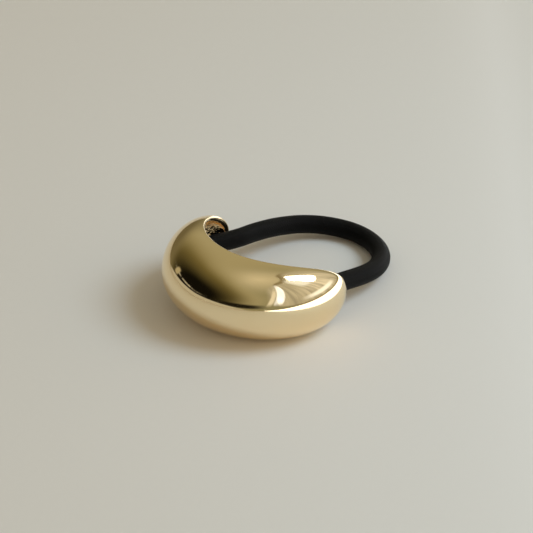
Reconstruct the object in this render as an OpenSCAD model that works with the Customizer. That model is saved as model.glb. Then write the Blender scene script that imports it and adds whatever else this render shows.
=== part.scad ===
// Cuff hair tie: a hollow domed metal cuff on a round elastic loop.
// X runs along the cuff, Y from its crest towards the far end of the loop, Z up.
// The origin lies on the table below the middle of the cuff. All sizes in millimetres.

/* [Cuff] */
// Radius of the cuff's open edge, seen from above
rim_radius = 18.7; // [18.6:0.1:19]
// Angle from the crest to each tip
half_arc = 94; // [90:1:95]
// How far the cuff reaches out from its open edge, at the crest
cuff_depth = 12.3; // [11.8:0.1:13]
// Half the cuff's height at the crest
half_height = 9.7; // [9.2:0.1:10.2]
// Thickness of the cast metal
metal_thickness = 1; // [0.8:0.1:1.1]
// Width of the metal round the end of each tip
tip_thickness = 1.3; // [1:0.1:1.8]
// Angle by which the cuff leans back on to its elastic
lean = 3.5; // [3:0.1:4]

/* [Taper] */
// How late along the arc the depth starts to fall away
depth_power = 1.6; // [1.5:0.05:1.8]
// How blunt the depth ends at the tips
depth_root = 0.75; // [0.65:0.05:0.8]
// How late along the arc the height starts to fall away
height_power = 2.8; // [2.6:0.05:3.2]
// How blunt the height ends at the tips
height_root = 0.48; // [0.42:0.02:0.52]
// How blunt the hollow's depth ends at the tips
hollow_depth_root = 0.85; // [0.8:0.05:0.95]
// How blunt the hollow's height ends at the tips
hollow_height_root = 0.55; // [0.52:0.01:0.6]

/* [Holding bars] */
// Angle from the crest to each bar across the hollow
bar_angle = 38; // [35:1:40]
// Diameter of a bar
bar_d = 1.6; // [1.2:0.1:1.7]
// Distance of a bar's middle out from the open edge
bar_inset = 1.3; // [1.1:0.1:1.4]

/* [Elastic] */
// Diameter of the covered elastic
elastic_d = 4.6; // [4.2:0.1:4.6]

/* [Smoothness] */
// Steps along the cuff from tip to tip
arc_steps = 48; // [24:2:56]
// Steps round the dome from edge to edge
dome_steps = 22; // [12:2:26]
// Steps across the rounded edge
lip_steps = 4; // [3:1:5]
// Sides of the elastic's round section
elastic_sides = 12; // [8:1:12]
// Rings from one point of the elastic's route to the next
rings_per_span = 2; // [1:1:2]

/* [Hidden] */
pale_gold = [0.86, 0.74, 0.47];
soft_black = [0.06, 0.06, 0.07];
bar_sides = 24;

// The rounded edge is a half round, so the two faces of the wall start this far out
lip_radius = metal_thickness / 2;
edge_radius = rim_radius + lip_radius;
outer_depth = cuff_depth - lip_radius;
// The hollow is a smaller dome, one thickness of metal inside the outer face
inner_depth = outer_depth - metal_thickness;
inner_height = half_height - metal_thickness;
inner_arc = half_arc - tip_thickness / edge_radius * 180 / PI;

// Share of the full size left at k along the arc, from -1 at one tip to 1 at the other
function taper(k, power, root) = pow(max(0, 1 - pow(abs(k), power)), root);
// Direction away from the middle of the loop at an angle from the crest
function outward(angle) = [sin(angle), -cos(angle), 0];
// Point of a dome at k along its arc and at angle f round its section, from -90 to 90
function dome_point(k, f, arc, depth, height) =
    (edge_radius + depth * cos(f)) * outward(k * arc) + [0, 0, height * sin(f)];
function outer_point(k, f) =
    let (
        depth = outer_depth * taper(k, depth_power, depth_root),
        height = half_height * taper(k, height_power, height_root)
    )
    dome_point(k, f, half_arc, depth, height);
function inner_point(k, f) =
    let (
        depth = inner_depth * taper(k, depth_power, hollow_depth_root),
        height = inner_height * taper(k, height_power, hollow_height_root)
    )
    dome_point(k, f, inner_arc, depth, height);
// Point of the rounded edge between the two faces, at angle g from the outer face
function lip_point(k, side, g) =
    let (
        a = outer_point(k, 90 * side),
        b = inner_point(k, 90 * side),
        bulge = min(norm(a - b) / 2, lip_radius)
    )
    (a + b) / 2 + (a - b) / 2 * cos(g) - bulge * sin(g) * outward(k * half_arc);

// One section of the wall, all the way round: outer face, upper edge, hollow, lower edge
function wall_section(k) = concat(
    [for (i = [0 : dome_steps]) outer_point(k, 180 * i / dome_steps - 90)],
    [for (i = [1 : lip_steps - 1]) lip_point(k, 1, 180 * i / lip_steps)],
    [for (i = [dome_steps : -1 : 0]) inner_point(k, 180 * i / dome_steps - 90)],
    [for (i = [lip_steps - 1 : -1 : 1]) lip_point(k, -1, 180 * i / lip_steps)]
);
section_size = 2 * (dome_steps + lip_steps);
// Sections lie closer together towards the tips
sections = [for (i = [1 : arc_steps - 1]) wall_section(sin(180 * i / arc_steps - 90))];
// At each tip the wall closes on a short row of points across the rounded edge
function tip_row(k) = [for (i = [0 : lip_steps]) lip_point(k, 1, 180 * i / lip_steps)];
body_points = [for (s = sections) each s];
wall_points = concat(body_points, tip_row(-1), tip_row(1));

// Place in a tip's row that point j of a section runs into
function tip_place(j) =
    j <= dome_steps ? 0
    : j < dome_steps + lip_steps ? j - dome_steps
    : j <= 2 * dome_steps + lip_steps ? lip_steps
    : section_size - j;
last_row = (arc_steps - 2) * section_size;
first_tip = len(body_points);
second_tip = first_tip + lip_steps + 1;
body_faces = [
    for (s = [0 : arc_steps - 3], j = [0 : section_size - 1])
    let (n = (j + 1) % section_size, a = s * section_size, b = a + section_size)
    each [[a + j, b + n, b + j], [a + j, a + n, b + n]]
];
function tip_faces(row, tip, turned) = [
    for (j = [0 : section_size - 1])
    let (n = (j + 1) % section_size, p = tip + tip_place(j), q = tip + tip_place(n))
    each concat(
        [turned ? [row + j, p, row + n] : [row + n, p, row + j]],
        p == q ? [] : [turned ? [row + n, p, q] : [q, p, row + n]]
    )
];
wall_faces = concat(body_faces, tip_faces(0, first_tip, true), tip_faces(last_row, second_tip, false));

// Where the leaning cuff comes to stand, so that its lowest point is on the table
function leaning(p) = [p.x, p.y * cos(lean) + p.z * sin(lean), p.z * cos(lean) - p.y * sin(lean)];
leaning_points = [for (p = wall_points) leaning(p)];
cuff_back = max([for (p = leaning_points) p.y]);
cuff_front = min([for (p = leaning_points) p.y]);
cuff_middle = (cuff_back + cuff_front) / 2;
cuff_lowest = min([for (p = leaning_points) p.z]);

// Bars end inside the metal above and below the hollow
bar_half_length = half_height * taper(bar_angle / half_arc, height_power, height_root) - lip_radius;

// Middle line of the elastic: out over one tip, round the open loop, in over the other
elastic_route = [
    [0, -9, 10], [6, -8.4, 9.9], [11, -6.2, 9.8], [14.5, -3.5, 9.7],
    [16.8, 0, 9.4], [17.3, 4, 9.1], [16.9, 8, 8.6], [16, 12, 8],
    [15.2, 16, 7.4], [14.7, 20, 6.7], [14.7, 25, 5.8], [14.5, 29, 5.1],
    [13.6, 33, 4.4], [11.6, 37, 3.7], [8.6, 40.5, 3.1], [4.5, 43.3, 2.6],
    [0, 44.7, 2.4], [-4.2, 44.6, 2.5], [-8.2, 43.1, 2.8], [-11.7, 40.3, 3.35],
    [-14.2, 36.7, 4], [-15.5, 33, 4.7], [-16.1, 28, 5.8], [-16.2, 22, 6.95],
    [-16, 16.5, 7.85], [-16.6, 12, 8.4], [-17.2, 8, 8.9], [-17.4, 4, 9.1],
    [-16.8, 0, 9.4], [-14.5, -3.5, 9.7], [-11, -6.2, 9.8], [-6, -8.4, 9.9]
];
route_size = len(elastic_route);
function route_point(i) = elastic_route[(i + route_size) % route_size];
// Smooth curve through the points of the closed route, at u from 0 to 1 after point i
function smooth_point(i, u) =
    let (a = route_point(i - 1), b = route_point(i), c = route_point(i + 1), d = route_point(i + 2))
    b + u * (c - a) / 2 + u * u * (a - 2.5 * b + 2 * c - d / 2)
    + u * u * u * (1.5 * (b - c) + (d - a) / 2);
ring_middles = [
    for (i = [0 : route_size - 1], j = [0 : rings_per_span - 1])
    smooth_point(i, j / rings_per_span)
];
ring_count = len(ring_middles);
function unit(v) = v / norm(v);
// Ring i of the elastic, square to the route
function elastic_ring(i) =
    let (
        ahead = ring_middles[(i + 1) % ring_count],
        behind = ring_middles[(i + ring_count - 1) % ring_count],
        along = unit(ahead - behind),
        across = unit(cross(along, [0, 0, 1])),
        upward = cross(across, along)
    )
    [
        for (j = [0 : elastic_sides - 1])
        let (turn = 360 * j / elastic_sides)
        ring_middles[i] + elastic_d / 2 * (cos(turn) * across + sin(turn) * upward)
    ];

module cuff_wall() {
    polyhedron(points = wall_points, faces = wall_faces, convexity = 6);
}

module holding_bar(side) {
    rotate([0, 0, side * bar_angle])
        translate([0, -rim_radius - bar_inset, -bar_half_length])
            cylinder(d = bar_d, h = 2 * bar_half_length, $fn = bar_sides);
}

module cuff_shell() {
    color(pale_gold)
        translate([0, -cuff_middle, -cuff_lowest])
            rotate([-lean, 0, 0])
                union() {
                    cuff_wall();
                    holding_bar(-1);
                    holding_bar(1);
                }
}

module elastic_loop() {
    color(soft_black)
        polyhedron(
            points = [for (i = [0 : ring_count - 1]) each elastic_ring(i)],
            faces = [
                for (i = [0 : ring_count - 1], j = [0 : elastic_sides - 1])
                let (
                    a = i * elastic_sides,
                    b = ((i + 1) % ring_count) * elastic_sides,
                    n = (j + 1) % elastic_sides
                )
                each [[a + j, a + n, b + n], [a + j, b + n, b + j]]
            ],
            convexity = 4
        );
}

cuff_shell();
elastic_loop();
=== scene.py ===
# Cuff hair tie: a polished hollow metal cuff on a round black braided elastic.
# Metres throughout. X runs along the cuff, Y from its crest to the far end of the loop, Z up.
import math

import bpy
import numpy as np
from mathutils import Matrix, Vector


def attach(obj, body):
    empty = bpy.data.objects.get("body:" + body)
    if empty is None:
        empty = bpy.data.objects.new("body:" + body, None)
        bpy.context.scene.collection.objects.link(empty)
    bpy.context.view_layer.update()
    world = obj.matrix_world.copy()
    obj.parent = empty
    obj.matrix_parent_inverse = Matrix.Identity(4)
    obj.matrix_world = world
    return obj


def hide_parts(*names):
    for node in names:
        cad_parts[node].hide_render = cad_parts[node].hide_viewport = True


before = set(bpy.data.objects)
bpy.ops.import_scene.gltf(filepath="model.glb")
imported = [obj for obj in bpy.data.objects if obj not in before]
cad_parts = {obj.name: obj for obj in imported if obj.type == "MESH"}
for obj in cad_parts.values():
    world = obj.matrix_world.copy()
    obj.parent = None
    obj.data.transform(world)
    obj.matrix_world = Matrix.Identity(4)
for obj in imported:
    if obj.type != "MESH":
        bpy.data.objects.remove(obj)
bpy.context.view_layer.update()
scene = bpy.context.scene
scene.view_settings.view_transform = "Standard"
scene.cycles.use_denoising = True
scene.cycles.glossy_bounces = 8
print("frame loaded")

camera = {
    "target": (0, 0.01482, 0.008535),   # middle of the cuff's bend, at half its height
    "azimuth": 43.404,
    "elevation": 30.557,
    "distance": 0.7146,
    "spanAtTarget": 0.12697,            # what the picture's width takes in there
    "aimRight": -0.00371,               # the target stands a little right of the middle
    "aimUp": -0.00128,
    "sensorWidth": 36,                  # in millimetres
    "clip": (0.01, 20),
}


def addObject(name, data):
    made = bpy.data.objects.new(name, data)
    scene.collection.objects.link(made)
    return made


def placeCamera():
    turn, rise = math.radians(camera["azimuth"]), math.radians(camera["elevation"])
    flat = math.cos(rise)
    back = Vector((math.sin(turn) * flat, -math.cos(turn) * flat, math.sin(rise)))
    right = Vector((math.cos(turn), math.sin(turn), 0))
    up = back.cross(right)
    target = Vector(camera["target"])
    lens = bpy.data.cameras.new("camera")
    lens.sensor_width = camera["sensorWidth"]
    lens.lens = lens.sensor_width * camera["distance"] / camera["spanAtTarget"]
    lens.clip_start, lens.clip_end = camera["clip"]
    made = addObject("camera", lens)
    made.location = target + back * camera["distance"]
    aim = target + right * camera["aimRight"] + up * camera["aimUp"]
    made.rotation_mode = "QUATERNION"
    made.rotation_quaternion = (aim - made.location).to_track_quat("-Z", "Y")
    scene.camera = made


placeCamera()
print("camera placed")


class Flow:
    # A number that runs through a node tree: plain arithmetic on it adds the Math nodes.
    def __init__(self, tree, socket):
        self.tree, self.socket = tree, socket

    def math(self, operation, *others):
        made = self.tree.nodes.new("ShaderNodeMath")
        made.operation = operation
        for place, value in zip(made.inputs, (self, *others)):
            feed(self.tree, value, place)
        return Flow(self.tree, made.outputs[0])

    def __add__(self, other): return self.math("ADD", other)
    def __sub__(self, other): return self.math("SUBTRACT", other)
    def __mul__(self, other): return self.math("MULTIPLY", other)
    def __truediv__(self, other): return self.math("DIVIDE", other)
    def __neg__(self): return self * -1
    def __rsub__(self, other): return -self + other
    def power(self, other): return self.math("POWER", other)
    def above(self, other): return self.math("GREATER_THAN", other)
    def larger(self, other): return self.math("MAXIMUM", other)
    def smaller(self, other): return self.math("MINIMUM", other)
    def floor(self): return self.math("FLOOR")
    def size(self): return self.math("ABSOLUTE")
    def sin(self): return self.math("SINE")
    def cos(self): return self.math("COSINE")
    def root(self): return self.math("SQRT")
    def radians(self): return self.math("RADIANS")

    def share(self, low, high):
        # 0 up to low, 1 from high on, and even between them
        return ((self - low) / (high - low)).larger(0).smaller(1)

    def ease(self):
        # rounds off both ends of a share
        return self * self * (3 - self * 2)


def feed(tree, value, place):
    # Links a number or a socket to an input, or sets a plain value there.
    if isinstance(value, Flow):
        tree.links.new(value.socket, place)
    elif isinstance(value, bpy.types.NodeSocket):
        tree.links.new(value, place)
    else:
        place.default_value = value


def addNode(tree, kind, **settings):
    # Settings that name an input are fed to it, and the others belong to the node.
    made = tree.nodes.new(kind)
    own = [name for name in settings if hasattr(made, name)]
    for name in own:
        setattr(made, name, settings[name])
    for name, value in settings.items():
        if name not in own:
            feed(tree, value, made.inputs[name.replace("_", " ")])
    return made


def vectorOf(tree, x, y, z):
    return addNode(tree, "ShaderNodeCombineXYZ", X=x, Y=y, Z=z).outputs[0]


def partsOf(tree, vector):
    made = addNode(tree, "ShaderNodeSeparateXYZ", Vector=vector)
    return [Flow(tree, out) for out in made.outputs]


def vectorMath(tree, operation, first, second=None, **settings):
    made = addNode(tree, "ShaderNodeVectorMath", operation=operation, **settings)
    tree.links.new(first, made.inputs[0])
    if second is not None:
        tree.links.new(second, made.inputs[1])
    return made.outputs[0]


def mixed(tree, factor, first, second):
    made = addNode(tree, "ShaderNodeMix", data_type="RGBA")
    for label, value in (("Factor", factor), ("A", first), ("B", second)):
        feed(tree, value, made.inputs[label])
    return made.outputs["Result"]


def geometryTree(name, sizes):
    # A tree with one named input for each size, its way in, and its way out.
    tree = bpy.data.node_groups.new(name, "GeometryNodeTree")
    tree.interface.new_socket("Geometry", in_out="INPUT", socket_type="NodeSocketGeometry")
    for label, value in sizes.items():
        kind = "NodeSocketInt" if isinstance(value, int) else "NodeSocketFloat"
        tree.interface.new_socket(label, in_out="INPUT", socket_type=kind)
    tree.interface.new_socket("Geometry", in_out="OUTPUT", socket_type="NodeSocketGeometry")
    into, out = tree.nodes.new("NodeGroupInput"), tree.nodes.new("NodeGroupOutput")
    size = {label: Flow(tree, into.outputs[label]) for label in sizes}
    return tree, size, into.outputs[0], out.inputs[0]


def keep(tree, geometry, name, value, kind="FLOAT"):
    # Stores a value at every point of the geometry.
    made = addNode(tree, "GeometryNodeStoreNamedAttribute", data_type=kind, domain="POINT",
                   Geometry=geometry, Name=name, Value=value)
    return made.outputs[0]


def kept(tree, name, kind="FLOAT"):
    return addNode(tree, "GeometryNodeInputNamedAttribute", data_type=kind, Name=name).outputs[0]


def grow(name, source, tree, sizes):
    # Runs the tree on the source's data and keeps the result as a plain mesh.
    seed = addObject(name + "Seed", source)
    modifier = seed.modifiers.new("shape", "NODES")
    modifier.node_group = tree
    for item in tree.interface.items_tree:
        if item.in_out == "INPUT" and item.name in sizes:
            modifier[item.identifier] = sizes[item.name]
    ready = seed.evaluated_get(bpy.context.evaluated_depsgraph_get())
    made = addObject(name, bpy.data.meshes.new_from_object(ready))
    made.data.name = name
    seed.modifiers.remove(modifier)
    bpy.data.objects.remove(seed)
    return made


def shader(name):
    made = bpy.data.materials.new(name)
    made.use_nodes = True
    return made, made.node_tree, made.node_tree.nodes["Principled BSDF"]


elastic = {
    "diameter": 0.0046,
    "strandsEachWay": 16,       # strands of the braid that run each way round
    "crossings": 198,           # crossings of one strand along the whole loop
    "relief": 0.00011,          # height of a strand above the gaps between strands
    "crownShare": 0.62,         # how much of that is the strand's own round top
    "ringsPerCrossing": 5,
    "sides": 96,
    "pointsPerSpan": 24,
    "filaments": 5,             # ridges of thread across a strand
    "filamentWidth": 0.6,       # lower is wider
    "filamentHeight": 0.00002,
    "paintedShadeShare": 0.35,          # painted shade: how much of the lit colour of the strand tops the shaded gaps between strands keep
    # painted shade in the gaps between strands, and painted light on the strands' tops
    "paintedShadeColour": (0.0016, 0.0016, 0.0017, 1),
    "paintedLitColour": (0.0044, 0.0047, 0.0049, 1),
    "roughness": 0.5,
    "specular": 0.055,
    "sheen": 0.02,
    "sheenRoughness": 0.5,
}
elasticRoute = [
    (0, -0.009, 0.01), (0.006, -0.0084, 0.0099), (0.011, -0.0062, 0.0098),
    (0.0145, -0.0035, 0.0097), (0.0168, 0, 0.0094), (0.0173, 0.004, 0.0091),
    (0.0169, 0.008, 0.0086), (0.016, 0.012, 0.008), (0.0152, 0.016, 0.0074),
    (0.0147, 0.02, 0.0067), (0.0147, 0.025, 0.0058), (0.0145, 0.029, 0.0051),
    (0.0136, 0.033, 0.0044), (0.0116, 0.037, 0.0037), (0.0086, 0.0405, 0.0031),
    (0.0045, 0.0433, 0.0026), (0, 0.0447, 0.0024), (-0.0042, 0.0446, 0.0025),
    (-0.0082, 0.0431, 0.0028), (-0.0117, 0.0403, 0.00335), (-0.0142, 0.0367, 0.004),
    (-0.0155, 0.033, 0.0047), (-0.0161, 0.028, 0.0058), (-0.0162, 0.022, 0.00695),
    (-0.016, 0.0165, 0.00785), (-0.0166, 0.012, 0.0084), (-0.0172, 0.008, 0.0089),
    (-0.0174, 0.004, 0.0091), (-0.0168, 0, 0.0094), (-0.0145, -0.0035, 0.0097),
    (-0.011, -0.0062, 0.0098), (-0.006, -0.0084, 0.0099),
]
blackCover, coverTree, coverLook = shader("blackCover")


def smoothLoop(points, perSpan):
    # The solid's own curve: it passes through every point of the closed route.
    b = np.array(points)
    a, c, d = np.roll(b, 1, 0), np.roll(b, -1, 0), np.roll(b, -2, 0)
    u = (np.arange(perSpan) / perSpan)[None, :, None]
    a, b, c, d = (p[:, None, :] for p in (a, b, c, d))
    curve = (b + u * (c - a) / 2 + u**2 * (a - 2.5 * b + 2 * c - d / 2)
             + u**3 * (1.5 * (b - c) + (d - a) / 2))
    return curve.reshape(-1, 3)


def braid(around, along):
    # Two sets of strands cross, and each passes over two and under two of the other.
    # around and along count strands and crossings. Gives the height from 0 to 1, and the
    # place across the strand on top.
    crown, swing = elastic["crownShare"], 1 - elastic["crownShare"]
    first, second = around + along, around - along
    firstStrand, secondStrand = (first + 0.5).floor(), (second + 0.5).floor()
    firstOver = ((firstStrand + second - 0.5) * (math.pi / 2)).cos()
    secondOver = -((secondStrand + first - 0.5) * (math.pi / 2)).cos()
    acrossFirst, acrossSecond = first - firstStrand, second - secondStrand
    firstHeight = (acrossFirst * math.pi).cos() * crown + firstOver * swing
    secondHeight = (acrossSecond * math.pi).cos() * crown + secondOver * swing
    height = firstHeight.larger(secondHeight).larger(0)
    isFirst = firstHeight.above(secondHeight)
    across = acrossFirst * isFirst + acrossSecond * (1 - isFirst)
    return height, across


def braidTree():
    # Sweeps a round section along the curve, then raises the strands of the braid.
    sizes = {
        "Radius": elastic["diameter"] / 2 - elastic["relief"],
        "Relief": elastic["relief"],
        "Rings": elastic["crossings"] * elastic["ringsPerCrossing"],
        "Sides": elastic["sides"],
        "Strands": float(elastic["strandsEachWay"]),
        "Crossings": float(elastic["crossings"]),
    }
    tree, size, wayIn, wayOut = geometryTree("braidedCover", sizes)
    factor = tree.nodes.new("GeometryNodeSplineParameter").outputs["Factor"]
    place = tree.nodes.new("GeometryNodeInputPosition").outputs[0]
    even = addNode(tree, "GeometryNodeResampleCurve", Curve=wayIn, Count=size["Rings"])
    steady = addNode(tree, "GeometryNodeSetCurveNormal", Curve=even.outputs[0])
    line = keep(tree, steady.outputs[0], "along", factor)
    line = keep(tree, line, "middle", place, "FLOAT_VECTOR")
    circle = addNode(tree, "GeometryNodeCurvePrimitiveCircle",
                     Resolution=size["Sides"], Radius=size["Radius"])
    section = keep(tree, circle.outputs[0], "around", factor)
    tube = addNode(tree, "GeometryNodeCurveToMesh", Curve=line, Profile_Curve=section)
    around, along = Flow(tree, kept(tree, "around")), Flow(tree, kept(tree, "along"))
    height, _ = braid(around * size["Strands"], along * size["Crossings"])
    outward = vectorMath(tree, "SUBTRACT", place, kept(tree, "middle", "FLOAT_VECTOR"))
    unit = vectorMath(tree, "NORMALIZE", outward)
    lift = vectorMath(tree, "SCALE", unit, Scale=height * size["Relief"])
    raised = addNode(tree, "GeometryNodeSetPosition", Geometry=tube.outputs[0], Offset=lift)
    smooth = addNode(tree, "GeometryNodeSetShadeSmooth", Geometry=raised.outputs[0])
    real = addNode(tree, "GeometryNodeRealizeInstances", Geometry=smooth.outputs[0])
    finish = addNode(tree, "GeometryNodeSetMaterial", Geometry=real.outputs[0],
                     Material=blackCover)
    tree.links.new(finish.outputs[0], wayOut)
    return tree, sizes


def perPoint(mesh, name):
    values = np.zeros(len(mesh.vertices))
    mesh.attributes[name].data.foreach_get("value", values)
    return values


def coverMap(mesh):
    # UV map of the cover: along the loop and around it, both from 0 to 1, whole at both seams.
    corner = np.zeros(len(mesh.loops), np.int32)
    mesh.loops.foreach_get("vertex_index", corner)
    along, around = perPoint(mesh, "along")[corner], perPoint(mesh, "around")[corner]
    values = np.stack([along, around], 1).reshape(-1, 4, 2)
    wraps = values.max(1, keepdims=True) - values.min(1, keepdims=True) > 0.5
    values += wraps & (values < 0.5)
    layer = mesh.uv_layers.new(name="cover")
    layer.data.foreach_set("uv", values.astype(np.float32).ravel())
    for name in ("along", "around", "middle"):
        mesh.attributes.remove(mesh.attributes[name])


def finishCover():
    tree = coverTree
    uv = addNode(tree, "ShaderNodeUVMap", uv_map="cover").outputs[0]
    along, around, _ = partsOf(tree, uv)
    height, across = braid(around * elastic["strandsEachWay"], along * elastic["crossings"])
    # fine filaments run along the strand that lies on top
    ridges = (across * (2 * math.pi * elastic["filaments"])).cos() * 0.5 + 0.5
    bump = addNode(tree, "ShaderNodeBump", Strength=1.0, Distance=elastic["filamentHeight"],
                   Height=ridges.power(elastic["filamentWidth"]))
    # painted shade and light: darker in the gaps between strands, lighter on their raised tops
    paintedShading = addNode(tree, "ShaderNodeMapRange", Value=height, To_Min=elastic["paintedShadeShare"],
                   To_Max=1.0)
    colour = mixed(tree, paintedShading.outputs[0], elastic["paintedShadeColour"], elastic["paintedLitColour"])
    tree.links.new(colour, coverLook.inputs["Base Color"])
    tree.links.new(bump.outputs[0], coverLook.inputs["Normal"])
    coverLook.inputs["Roughness"].default_value = elastic["roughness"]
    coverLook.inputs["Specular IOR Level"].default_value = elastic["specular"]
    coverLook.inputs["Sheen Weight"].default_value = elastic["sheen"]
    coverLook.inputs["Sheen Roughness"].default_value = elastic["sheenRoughness"]


def makeElastic():
    line = smoothLoop(elasticRoute, elastic["pointsPerSpan"])
    curve = bpy.data.curves.new("elasticLine", "CURVE")
    curve.dimensions = "3D"
    spline = curve.splines.new("POLY")
    spline.points.add(len(line) - 1)
    spline.points.foreach_set("co", np.hstack([line, np.ones((len(line), 1))]).ravel())
    spline.use_cyclic_u = True
    tree, sizes = braidTree()
    loop = grow("elasticCover", curve, tree, sizes)
    coverMap(loop.data)
    finishCover()
    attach(loop, "root")
    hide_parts("elastic_loop")


makeElastic()

cuff = {
    "rimRadius": 0.0187,        # of the open edge, seen from above
    "halfArc": 94.0,            # angles are in degrees
    "depth": 0.0123,            # from the open edge out to the crest
    "halfHeight": 0.0097,
    "metalThickness": 0.001,
    "tipThickness": 0.0013,
    "lean": 3.5,                # back on to the elastic
    # a power sets how late a size falls away along the arc, and a root how blunt it ends
    "depthPower": 1.6,
    "depthRoot": 0.75,
    "heightPower": 2.8,
    "heightRoot": 0.48,
    "hollowDepthRoot": 0.85,
    "hollowHeightRoot": 0.55,
    "arcSteps": 260,
    "domeSteps": 96,
    "lipSteps": 12,
    "mergeDistance": 5e-8,      # closes the grid into one skin
    "barAngle": 38.0,
    "barDiameter": 0.0016,
    "barInset": 0.0013,         # from the open edge to the middle of a bar
    "barRings": 96,
    "barSides": 40,
    "solderFlare": 0.0003,
    "solderLength": 0.0011,
    "solderCurve": 2.5,         # how late the fillet of solder widens
}
polishedGold, goldTree, goldLook = shader("polishedGold")
barGold, barTree, barLook = shader("barGold")


def taper(k, power, root):
    # Share of the full size left at k along the arc.
    return (1 - k.size().power(power)).larger(0).power(root)


def leaning(x, y, z, lean):
    return x, y * lean.cos() + z * lean.sin(), z * lean.cos() - y * lean.sin()


def between(outer, inner, face):
    # The outer value where face is 1, and the inner one where it is -1.
    return (outer + inner) * 0.5 + (outer - inner) * 0.5 * face


def wallPoint(k, f, g, size):
    # Point of the wall at k along the arc. f goes round a section from -90 to 90 degrees, and
    # g crosses the rounded edge from the outer face, at 0, to the inner one, at 180 degrees.
    lip = size["metalThickness"] * 0.5
    edge = size["rimRadius"] + lip
    fullArc = size["halfArc"].radians()
    outerTurn = k * fullArc
    innerTurn = k * (fullArc - size["tipThickness"] / edge)
    face = g.cos()
    east = between(outerTurn.sin(), innerTurn.sin(), face)
    north = between(outerTurn.cos(), innerTurn.cos(), face)
    outerDeep = (size["depth"] - lip) * taper(k, size["depthPower"], size["depthRoot"])
    outerHigh = size["halfHeight"] * taper(k, size["heightPower"], size["heightRoot"])
    innerDeep = (size["depth"] - lip * 3) * taper(k, size["depthPower"], size["hollowDepthRoot"])
    hollowLeft = taper(k, size["heightPower"], size["hollowHeightRoot"])
    innerHigh = (size["halfHeight"] - lip * 2) * hollowLeft
    reach = edge + between(outerDeep, innerDeep, face) * f.cos()
    gapHigh = outerHigh - innerHigh
    gapLong = edge * ((outerTurn - innerTurn) * 0.5).sin() * 2
    bulge = ((gapHigh * gapHigh + gapLong * gapLong).root() * 0.5).smaller(lip) * g.sin()
    x = reach * east - bulge * outerTurn.sin()
    y = bulge * outerTurn.cos() - reach * north
    z = between(outerHigh, innerHigh, face) * f.sin()
    return x, y, z


def growWall(tree, size, lean):
    # A grid whose rows run along the arc and whose columns go round the section.
    dome, lip = size["domeSteps"], size["lipSteps"]
    columns = (dome + lip) * 2 + 1
    grid = addNode(tree, "GeometryNodeMeshGrid", Vertices_X=size["arcSteps"] + 1,
                   Vertices_Y=columns)
    index = Flow(tree, tree.nodes.new("GeometryNodeInputIndex").outputs[0])
    row = (index / columns).floor()
    column = index - row * columns
    k = ((row / size["arcSteps"] - 0.5) * math.pi).sin()
    f = (column.share(0, dome) - column.share(dome + lip, dome * 2 + lip) - 0.5) * math.pi
    g = (column.share(dome, dome + lip) - column.share(dome * 2 + lip, (dome + lip) * 2)) * math.pi
    place = vectorOf(tree, *leaning(*wallPoint(k, f, g, size), lean))
    bent = addNode(tree, "GeometryNodeSetPosition", Geometry=grid.outputs[0], Position=place)
    inside = keep(tree, bent.outputs[0], "inside", g / math.pi)
    closed = addNode(tree, "GeometryNodeMergeByDistance", Geometry=inside,
                     Distance=size["mergeDistance"])
    return closed.outputs[0]


def growBars(tree, size, lean):
    # Two swept rods, each with a small fillet of solder where it meets the wall.
    barK = size["barAngle"] / size["halfArc"]
    heightLeft = taper(barK, size["heightPower"], size["heightRoot"])
    halfRod = size["halfHeight"] * heightLeft - size["metalThickness"] * 0.5
    hollowLeft = taper(barK, size["heightPower"], size["hollowHeightRoot"])
    innerFace = (size["halfHeight"] - size["metalThickness"]) * hollowLeft
    rod = addNode(tree, "GeometryNodeCurvePrimitiveLine",
                  Start=vectorOf(tree, 0, 0, -halfRod), End=vectorOf(tree, 0, 0, halfRod))
    fineRod = addNode(tree, "GeometryNodeResampleCurve", Curve=rod.outputs[0],
                      Count=size["barRings"])
    up = partsOf(tree, tree.nodes.new("GeometryNodeInputPosition").outputs[0])[2].size()
    soldering = up.share(innerFace - size["solderLength"], innerFace)
    flare = soldering.power(size["solderCurve"]) * size["solderFlare"]
    section = addNode(tree, "GeometryNodeCurvePrimitiveCircle", Resolution=size["barSides"],
                      Radius=1)
    bar = addNode(tree, "GeometryNodeCurveToMesh", Curve=fineRod.outputs[0],
                  Profile_Curve=section.outputs[0], Scale=size["barDiameter"] * 0.5 + flare,
                  Fill_Caps=True)
    soldered = keep(tree, bar.outputs[0], "solder", soldering)
    marked = keep(tree, soldered, "isBar", True, "BOOLEAN")
    side = Flow(tree, tree.nodes.new("GeometryNodeInputIndex").outputs[0]) * 2 - 1
    turn = side * size["barAngle"].radians()
    ring = size["rimRadius"] + size["barInset"]
    points = addNode(tree, "GeometryNodePoints", Count=2)
    spots = addNode(tree, "GeometryNodeSetPosition", Geometry=points.outputs[0],
                    Position=vectorOf(tree, turn.sin() * ring, -(turn.cos() * ring), 0))
    bars = addNode(tree, "GeometryNodeInstanceOnPoints", Points=spots.outputs[0], Instance=marked)
    bars = addNode(tree, "GeometryNodeRealizeInstances", Geometry=bars.outputs[0])
    x, y, z = partsOf(tree, tree.nodes.new("GeometryNodeInputPosition").outputs[0])
    bars = addNode(tree, "GeometryNodeSetPosition", Geometry=bars.outputs[0],
                   Position=vectorOf(tree, *leaning(x, y, z, lean)))
    return bars.outputs[0]


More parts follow.
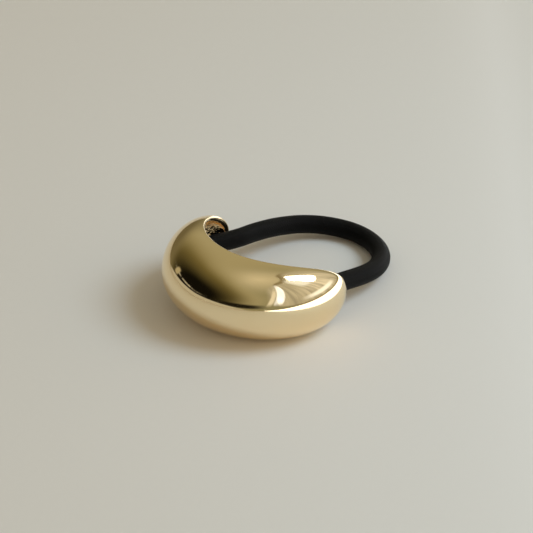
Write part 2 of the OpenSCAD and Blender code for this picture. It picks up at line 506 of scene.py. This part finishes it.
def cuffTree():
    tree, size, _, wayOut = geometryTree("domedCuff", cuff)
    lean = size["lean"].radians()
    wall, bars = growWall(tree, size, lean), growBars(tree, size, lean)

    # stand the leaning cuff on the table, with its middle over the origin
    box = addNode(tree, "GeometryNodeBoundBox", Geometry=wall)
    low, high = partsOf(tree, box.outputs["Min"]), partsOf(tree, box.outputs["Max"])
    both = tree.nodes.new("GeometryNodeJoinGeometry")
    tree.links.new(wall, both.inputs[0])
    tree.links.new(bars, both.inputs[0])
    stood = addNode(tree, "GeometryNodeSetPosition", Geometry=both.outputs[0],
                    Offset=vectorOf(tree, 0, -(low[1] + high[1]) * 0.5, -low[2]))
    smooth = addNode(tree, "GeometryNodeSetShadeSmooth", Geometry=stood.outputs[0])
    real = addNode(tree, "GeometryNodeRealizeInstances", Geometry=smooth.outputs[0])
    plated = addNode(tree, "GeometryNodeSetMaterial", Geometry=real.outputs[0],
                     Material=polishedGold)
    finish = addNode(tree, "GeometryNodeSetMaterial", Geometry=plated.outputs[0],
                     Selection=kept(tree, "isBar", "BOOLEAN"), Material=barGold)
    tree.links.new(finish.outputs[0], wayOut)
    return tree


platedFinish = {
    "tint": (0.95, 0.785, 0.505, 1),
    "worn": (0.90, 0.66, 0.35, 1),      # where handling has rubbed the plating
    "polished": 0.045,                  # roughness of the buffed face
    "cast": 0.10,                       # roughness of the hollow, which no wheel reaches
    "soldered": 0.4,                    # roughness of the solder at the ends of the bars
    # A pattern comes in between the two noise values of its fade. dull is what it adds to the
    # roughness, tint how far it turns the tint to the worn one, and heights are in millimetres.
    "wave": {"scale": 75, "height": 0.004},
    "pits": {"scale": 1500, "height": 0.16},
    "smudges": {"scale": 130, "fade": (0.48, 0.72), "dull": 0.035, "tint": 0.1},
    "rubbing": {"scale": 700, "fade": (0.3, 0.62), "dull": 0.14, "tint": 0.5},
    "stains": {"scale": 260, "least": 0.45, "more": 0.5},       # blotches of tint in the hollow
    # each set of scratches has its direction and its scale, and shows only in patches
    "scratches": {
        "sets": (((0.3, 0.2, 0.4), 6000), ((1.1, 0.7, 2.0), 7600), ((0.5, 1.4, 1.0), 5200)),
        "stretch": 90, "fade": (0.70, 0.78), "dull": 0.10, "height": 0.0006,
        "patchSize": 36, "patchFade": (0.48, 0.60),
    },
    "tableWear": (0.0001, 0.0009),      # rubbed up to the first height, and not from the second on
    # both as shares across the rounded edge: where its wear comes and goes, and where the
    # cast surface of the hollow begins and is full
    "lipWear": {"amount": 0.5, "comes": (0.02, 0.2), "goes": (0.8, 0.98)},
    "castFrom": (0.55, 1),
}
millimetre = 0.001


def shaderGroup(name, inputs, outputs):
    # A shader group with named numbers, colours or vectors going in and coming out.
    tree = bpy.data.node_groups.new(name, "ShaderNodeTree")
    for label, (kind, value) in inputs.items():
        socket = tree.interface.new_socket(label, in_out="INPUT", socket_type="NodeSocket" + kind)
        if value is not None:
            socket.default_value = value
    for label, kind in outputs.items():
        tree.interface.new_socket(label, in_out="OUTPUT", socket_type="NodeSocket" + kind)
    into, out = tree.nodes.new("NodeGroupInput"), tree.nodes.new("NodeGroupOutput")
    return tree, {label: Flow(tree, into.outputs[label]) for label in inputs}, out


def noise(tree, place, scale, detail, stretch=None, turned=(0, 0, 0)):
    # Noise from 0 to 1, with its grain drawn out along X where stretch is given.
    if stretch:
        place = addNode(tree, "ShaderNodeMapping", Vector=place, Rotation=turned,
                        Scale=(1 / stretch, 1, 1)).outputs[0]
    made = addNode(tree, "ShaderNodeTexNoise", Vector=place, Scale=scale, Detail=detail)
    return Flow(tree, made.outputs[0])


def platedMetal():
    # Bright plating: buffed outside, rough from the mould inside, with hairlines and rubbed edges.
    inputs = {
        "Place": ("Vector", None),
        "Tint": ("Color", (1, 1, 1, 1)),
        "Worn": ("Color", (1, 1, 1, 1)),
        "Roughness": ("Float", 0.05),
        "Cast": ("Float", 0),
        "Cast Roughness": ("Float", 0.2),
        "Wear": ("Float", 0),
    }
    outputs = {"Color": "Color", "Roughness": "Float", "Height": "Float"}
    tree, given, out = shaderGroup("platedMetal", inputs, outputs)
    place, cast = given["Place"], given["Cast"]
    wave, pits, stains = platedFinish["wave"], platedFinish["pits"], platedFinish["stains"]
    smudges, rubbing = platedFinish["smudges"], platedFinish["rubbing"]
    scratches = platedFinish["scratches"]

    smudged = noise(tree, place, smudges["scale"], 3).share(*smudges["fade"])
    rubbed = given["Wear"] * noise(tree, place, rubbing["scale"], 3).share(*rubbing["fade"])
    scratched = None
    for turned, scale in scratches["sets"]:
        line = noise(tree, place, scale, 0, scratches["stretch"], turned).share(*scratches["fade"])
        patch = noise(tree, place, scale / scratches["patchSize"], 1)
        line = line * patch.share(*scratches["patchFade"])
        scratched = scratched.larger(line) if scratched else line

    rough = given["Roughness"] + (given["Cast Roughness"] - given["Roughness"]) * cast
    rough = rough + smudged * smudges["dull"] + scratched * scratches["dull"]
    rough = rough + rubbed * rubbing["dull"]
    waves = noise(tree, place, wave["scale"], 1) * wave["height"]
    pitted = noise(tree, place, pits["scale"], 1) * pits["height"] * cast
    height = waves + pitted - scratched * scratches["height"]
    stained = noise(tree, place, stains["scale"], 3) * stains["more"] + stains["least"]
    wornShare = rubbed * rubbing["tint"] + cast * stained + smudged * smudges["tint"]
    colour = mixed(tree, wornShare, given["Tint"], given["Worn"])
    for label, value in (("Color", colour), ("Roughness", rough), ("Height", height)):
        feed(tree, value, out.inputs[label])
    return tree


def attribute(tree, name):
    return Flow(tree, addNode(tree, "ShaderNodeAttribute", attribute_name=name).outputs["Fac"])


def objectPlace(tree):
    return tree.nodes.new("ShaderNodeTexCoord").outputs["Object"]


def plate(tree, look, group, place, cast, castRoughness, wear):
    finish = addNode(tree, "ShaderNodeGroup", node_tree=group, Place=place, Cast=cast, Wear=wear,
                     Tint=platedFinish["tint"], Worn=platedFinish["worn"],
                     Roughness=platedFinish["polished"], Cast_Roughness=castRoughness)
    bump = addNode(tree, "ShaderNodeBump", Strength=1, Distance=millimetre,
                   Height=finish.outputs["Height"])
    tree.links.new(finish.outputs["Color"], look.inputs["Base Color"])
    tree.links.new(finish.outputs["Roughness"], look.inputs["Roughness"])
    tree.links.new(bump.outputs[0], look.inputs["Normal"])
    look.inputs["Metallic"].default_value = 1


def finishGold():
    group = platedMetal()
    # the wall is cast inside, and rubbed where it stands on the table and round its opening
    place, across = objectPlace(goldTree), attribute(goldTree, "inside")
    lip = platedFinish["lipWear"]
    onTable = 1 - partsOf(goldTree, place)[2].share(*platedFinish["tableWear"])
    onLip = across.share(*lip["comes"]) * (1 - across.share(*lip["goes"]))
    wear = onTable.larger(onLip * lip["amount"])
    cast = across.share(*platedFinish["castFrom"])
    plate(goldTree, goldLook, group, place, cast, platedFinish["cast"], wear)
    # the bars are rough only where they are soldered
    solder = attribute(barTree, "solder")
    plate(barTree, barLook, group, objectPlace(barTree), solder, platedFinish["soldered"], 0)


def makeCuff():
    shell = grow("goldCuff", bpy.data.meshes.new("empty"), cuffTree(), cuff)
    shell.data.attributes.remove(shell.data.attributes["isBar"])
    finishGold()
    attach(shell, "root")
    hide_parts("cuff_shell")
    print("cuff made:", len(shell.data.polygons), "faces")


makeCuff()

studio = {
    "floorSize": 2,
    "floorColour": (0.77, 0.785, 0.76, 1),
    "floorRoughness": 0.6,
    "floorSpecular": 0.2,
    "backdrop": (0.50, 0.49, 0.44, 1),
    # what lights the matt surfaces: the horizon and overhead, and a low glow beside the key light
    "ambient": ((0.279, 0.239, 0.190, 1), (0.374, 0.337, 0.246, 1)),
    "sideGlow": {"at": (66, 26), "half": (60, 34), "square": 2, "soft": 0.9,
                 "light": (1.09, 0.81, 0.515, 1)},
    "keyLight": {"azimuth": 54, "elevation": 49, "distance": 0.6, "size": 0.34,
                 "colour": (0.636, 0.823, 1.0), "watts": 1.80},
    "lowCard": {"away": 0.060, "near": -0.90, "far": 0.60, "height": 0.0165, "strength": 2.3},
    # what the metal reflects beside the panels, up to 45 degrees and overhead
    "surround": ((0.26, 0.253, 0.158, 1), (0.64, 0.58, 0.43, 1)),
    "surroundRise": (45, 90),
    "foldsPerRadian": 11,
    "foldDrift": 1.2,                       # how much the folds change from low to high
    "foldFade": (0.3, 0.7),
    "bounceGain": (0.98, 0.25, -0.09),      # more light by way of the metal on to the floor
}
# Soft lights and dark cards far away, which only reflections show. All are in degrees as seen
# from the cuff, and each has its middle, half its width and height, how square its corners are,
# how soft its edge is, its light, and where it has them how far it leans and how deep its folds
# are. A later one covers an earlier one.
studioPanels = {
    "dimCard": {"at": (-124, 30), "half": (107, 45), "square": 2, "soft": 0.25,
                "light": (0.38, 0.345, 0.216, 1)},
    "brownShade": {"at": (-135, 30), "half": (69, 35), "square": 2, "soft": 0.3,
                   "light": (0.187, 0.152, 0.056, 1)},
    "darkCard": {"at": (-141, 19), "half": (54, 32), "square": 2, "soft": 0.55,
                 "light": (0.006, 0.005, 0.003, 1)},
    # two low dark cards draw the dark line above the light band
    "lowShade": {"at": (-65, 3), "half": (26, 14), "square": 2, "soft": 0.6,
                 "light": (0.15, 0.125, 0.066, 1)},
    "darkSkirt": {"at": (161, 10.5), "half": (26, 6), "square": 3, "soft": 0.45,
                  "light": (0.012, 0.010, 0.006, 1)},
    "paleStrip": {"at": (-128, 12.5), "half": (24, 1.4), "square": 2, "soft": 0.6,
                  "light": (0.62, 0.58, 0.48, 1), "folds": 1},
    "endCard": {"at": (-107, 12), "half": (3.6, 6), "square": 3, "soft": 0.35,
                "light": (0.42, 0.37, 0.24, 1)},
    # a pale card at the horizon lifts the light band on the cuff's left half
    "horizonCard": {"at": (-152, -3), "half": (58, 11), "square": 2, "soft": 0.06,
                    "light": (0.475, 0.45, 0.38, 1)},
    "softboxRim": {"at": (46, 40), "half": (66, 36), "square": 5, "soft": 0.03,
                   "light": (0.26, 0.22, 0.13, 1)},
    "wideSoftbox": {"at": (53, 39), "half": (72, 32), "square": 5, "soft": 0.07,
                    "light": (0.58, 0.545, 0.44, 1), "folds": 0.35},
    "middleGlow": {"at": (33, 36), "half": (40, 22), "square": 2, "soft": 0.7,
                   "light": (0.95, 0.90, 0.78, 1), "folds": 0.5},
    "keyGlow": {"at": (48, 59), "half": (17, 12), "square": 3, "soft": 0.4,
                "light": (1.2, 1.25, 1.3, 1), "folds": 0.3},
    "keySoftbox": {"at": (21, 57), "half": (18, 13), "square": 6, "soft": 0.10,
                   "light": (7, 7.2, 7.4, 1)},
    "sideStrip": {"at": (109, 42), "half": (5.5, 25), "square": 5, "soft": 0.25,
                  "light": (1.8, 1.9, 2.2, 1), "lean": 0.3, "folds": 0.45},
    "thinStrip": {"at": (121, 36), "half": (2.8, 20), "square": 5, "soft": 0.4,
                  "light": (0.85, 0.80, 0.68, 1), "lean": 0.3},
    "lowStrip": {"at": (50, 18), "half": (27, 5), "square": 3, "soft": 0.5,
                 "light": (1.2, 1.25, 1.3, 1)},
}


def panelMask(tree, x, y, rise, panel):
    # 1 on a panel and 0 beside it, as seen in the direction x, y at the elevation rise.
    (middle, height), (wide, high) = panel["at"], panel["half"]
    turn = math.radians(middle)
    ahead = y * math.cos(turn) + x * math.sin(turn)
    across = x * math.cos(turn) - y * math.sin(turn)
    sideways = across.math("ARCTAN2", ahead) * (180 / math.pi)
    upward = rise - height
    sideways = sideways + upward * panel.get("lean", 0)
    square = panel["square"]
    out = (sideways.size() / wide).power(square) + (upward.size() / high).power(square)
    out = out.power(1 / square)
    return 1 - out.share(1 - panel["soft"], 1 + panel["soft"]).ease()


def lightWorld():
    world = bpy.data.worlds.new("studio")
    world.use_nodes = True
    scene.world = world
    tree = world.node_tree
    direction = tree.nodes.new("ShaderNodeTexCoord").outputs["Generated"]
    x, y, z = partsOf(tree, direction)
    rise = z.math("ARCSINE") * (180 / math.pi)

    # what the metal reflects: the surround and the panels, some with upright folds
    azimuth = x.math("ARCTAN2", y)
    foldPlace = vectorOf(tree, azimuth * studio["foldsPerRadian"], 0, z * studio["foldDrift"])
    fold = noise(tree, foldPlace, 1, 2).share(*studio["foldFade"])
    reflected = mixed(tree, rise.share(*studio["surroundRise"]), *studio["surround"])
    for panel in studioPanels.values():
        light = panel["light"]
        if "folds" in panel:
            light = mixed(tree, fold * panel["folds"], light, (0, 0, 0, 1))
        reflected = mixed(tree, panelMask(tree, x, y, rise, panel), reflected, light)

    # what lights the matt surfaces
    glow = studio["sideGlow"]
    spread = mixed(tree, rise.share(0, 90), *studio["ambient"])
    spread = mixed(tree, panelMask(tree, x, y, rise, glow), spread, glow["light"])

    path = tree.nodes.new("ShaderNodeLightPath")
    bounced = Flow(tree, path.outputs["Diffuse Depth"]).smaller(1)
    gains = vectorOf(tree, *(bounced * gain + 1 for gain in studio["bounceGain"]))
    brighter = vectorMath(tree, "MULTIPLY", gains, reflected)
    seen = mixed(tree, path.outputs["Is Glossy Ray"], spread, brighter)
    seen = mixed(tree, path.outputs["Is Camera Ray"], seen, studio["backdrop"])
    tree.links.new(seen, tree.nodes["Background"].inputs["Color"])


def hangKeyLight():
    key = studio["keyLight"]
    turn, rise = math.radians(key["azimuth"]), math.radians(key["elevation"])
    flat = math.cos(rise)
    towards = Vector((math.sin(turn) * flat, math.cos(turn) * flat, math.sin(rise)))
    light = bpy.data.lights.new("keyLight", "AREA")
    light.shape, light.size = "DISK", key["size"]
    light.energy, light.color = key["watts"], key["colour"]
    made = addObject("keyLight", light)
    made.location = Vector(camera["target"]) + towards * key["distance"]
    made.rotation_mode = "QUATERNION"
    made.rotation_quaternion = towards.to_track_quat("Z", "Y")
    made.visible_glossy = made.visible_camera = False


def layFloor():
    half = studio["floorSize"] / 2
    corners = [(-half, -half, 0), (half, -half, 0), (half, half, 0), (-half, half, 0)]
    mesh = bpy.data.meshes.new("floor")
    mesh.from_pydata(corners, [], [(0, 1, 2, 3)])
    floor = addObject("floor", mesh)
    paint, _, look = shader("floorPaint")
    look.inputs["Base Color"].default_value = studio["floorColour"]
    look.inputs["Roughness"].default_value = studio["floorRoughness"]
    look.inputs["Specular IOR Level"].default_value = studio["floorSpecular"]
    mesh.materials.append(paint)


def standLowCard():
    # a low glowing card on the floor beyond the cuff's right end, which only reflections show
    card = studio["lowCard"]
    turn = math.radians(camera["azimuth"])
    right = Vector((math.cos(turn), math.sin(turn), 0))
    away = Vector((-math.sin(turn), math.cos(turn), 0))
    middle = Vector((camera["target"][0], camera["target"][1], 0)) + right * card["away"]
    ends = [middle + away * card["near"], middle + away * card["far"]]
    top = Vector((0, 0, card["height"]))
    strip = bpy.data.meshes.new("lowCard")
    strip.from_pydata([ends[0], ends[1], ends[1] + top, ends[0] + top], [], [(0, 1, 2, 3)])
    cardObject = addObject("lowCard", strip)
    glow, _, look = shader("cardLight")
    look.inputs["Base Color"].default_value = (0, 0, 0, 1)
    look.inputs["Specular IOR Level"].default_value = 0
    look.inputs["Emission Color"].default_value = (1, 1, 1, 1)
    look.inputs["Emission Strength"].default_value = card["strength"]
    strip.materials.append(glow)
    cardObject.visible_camera = cardObject.visible_diffuse = cardObject.visible_shadow = False


lightWorld()
hangKeyLight()
layFloor()
standLowCard()
print("studio set")
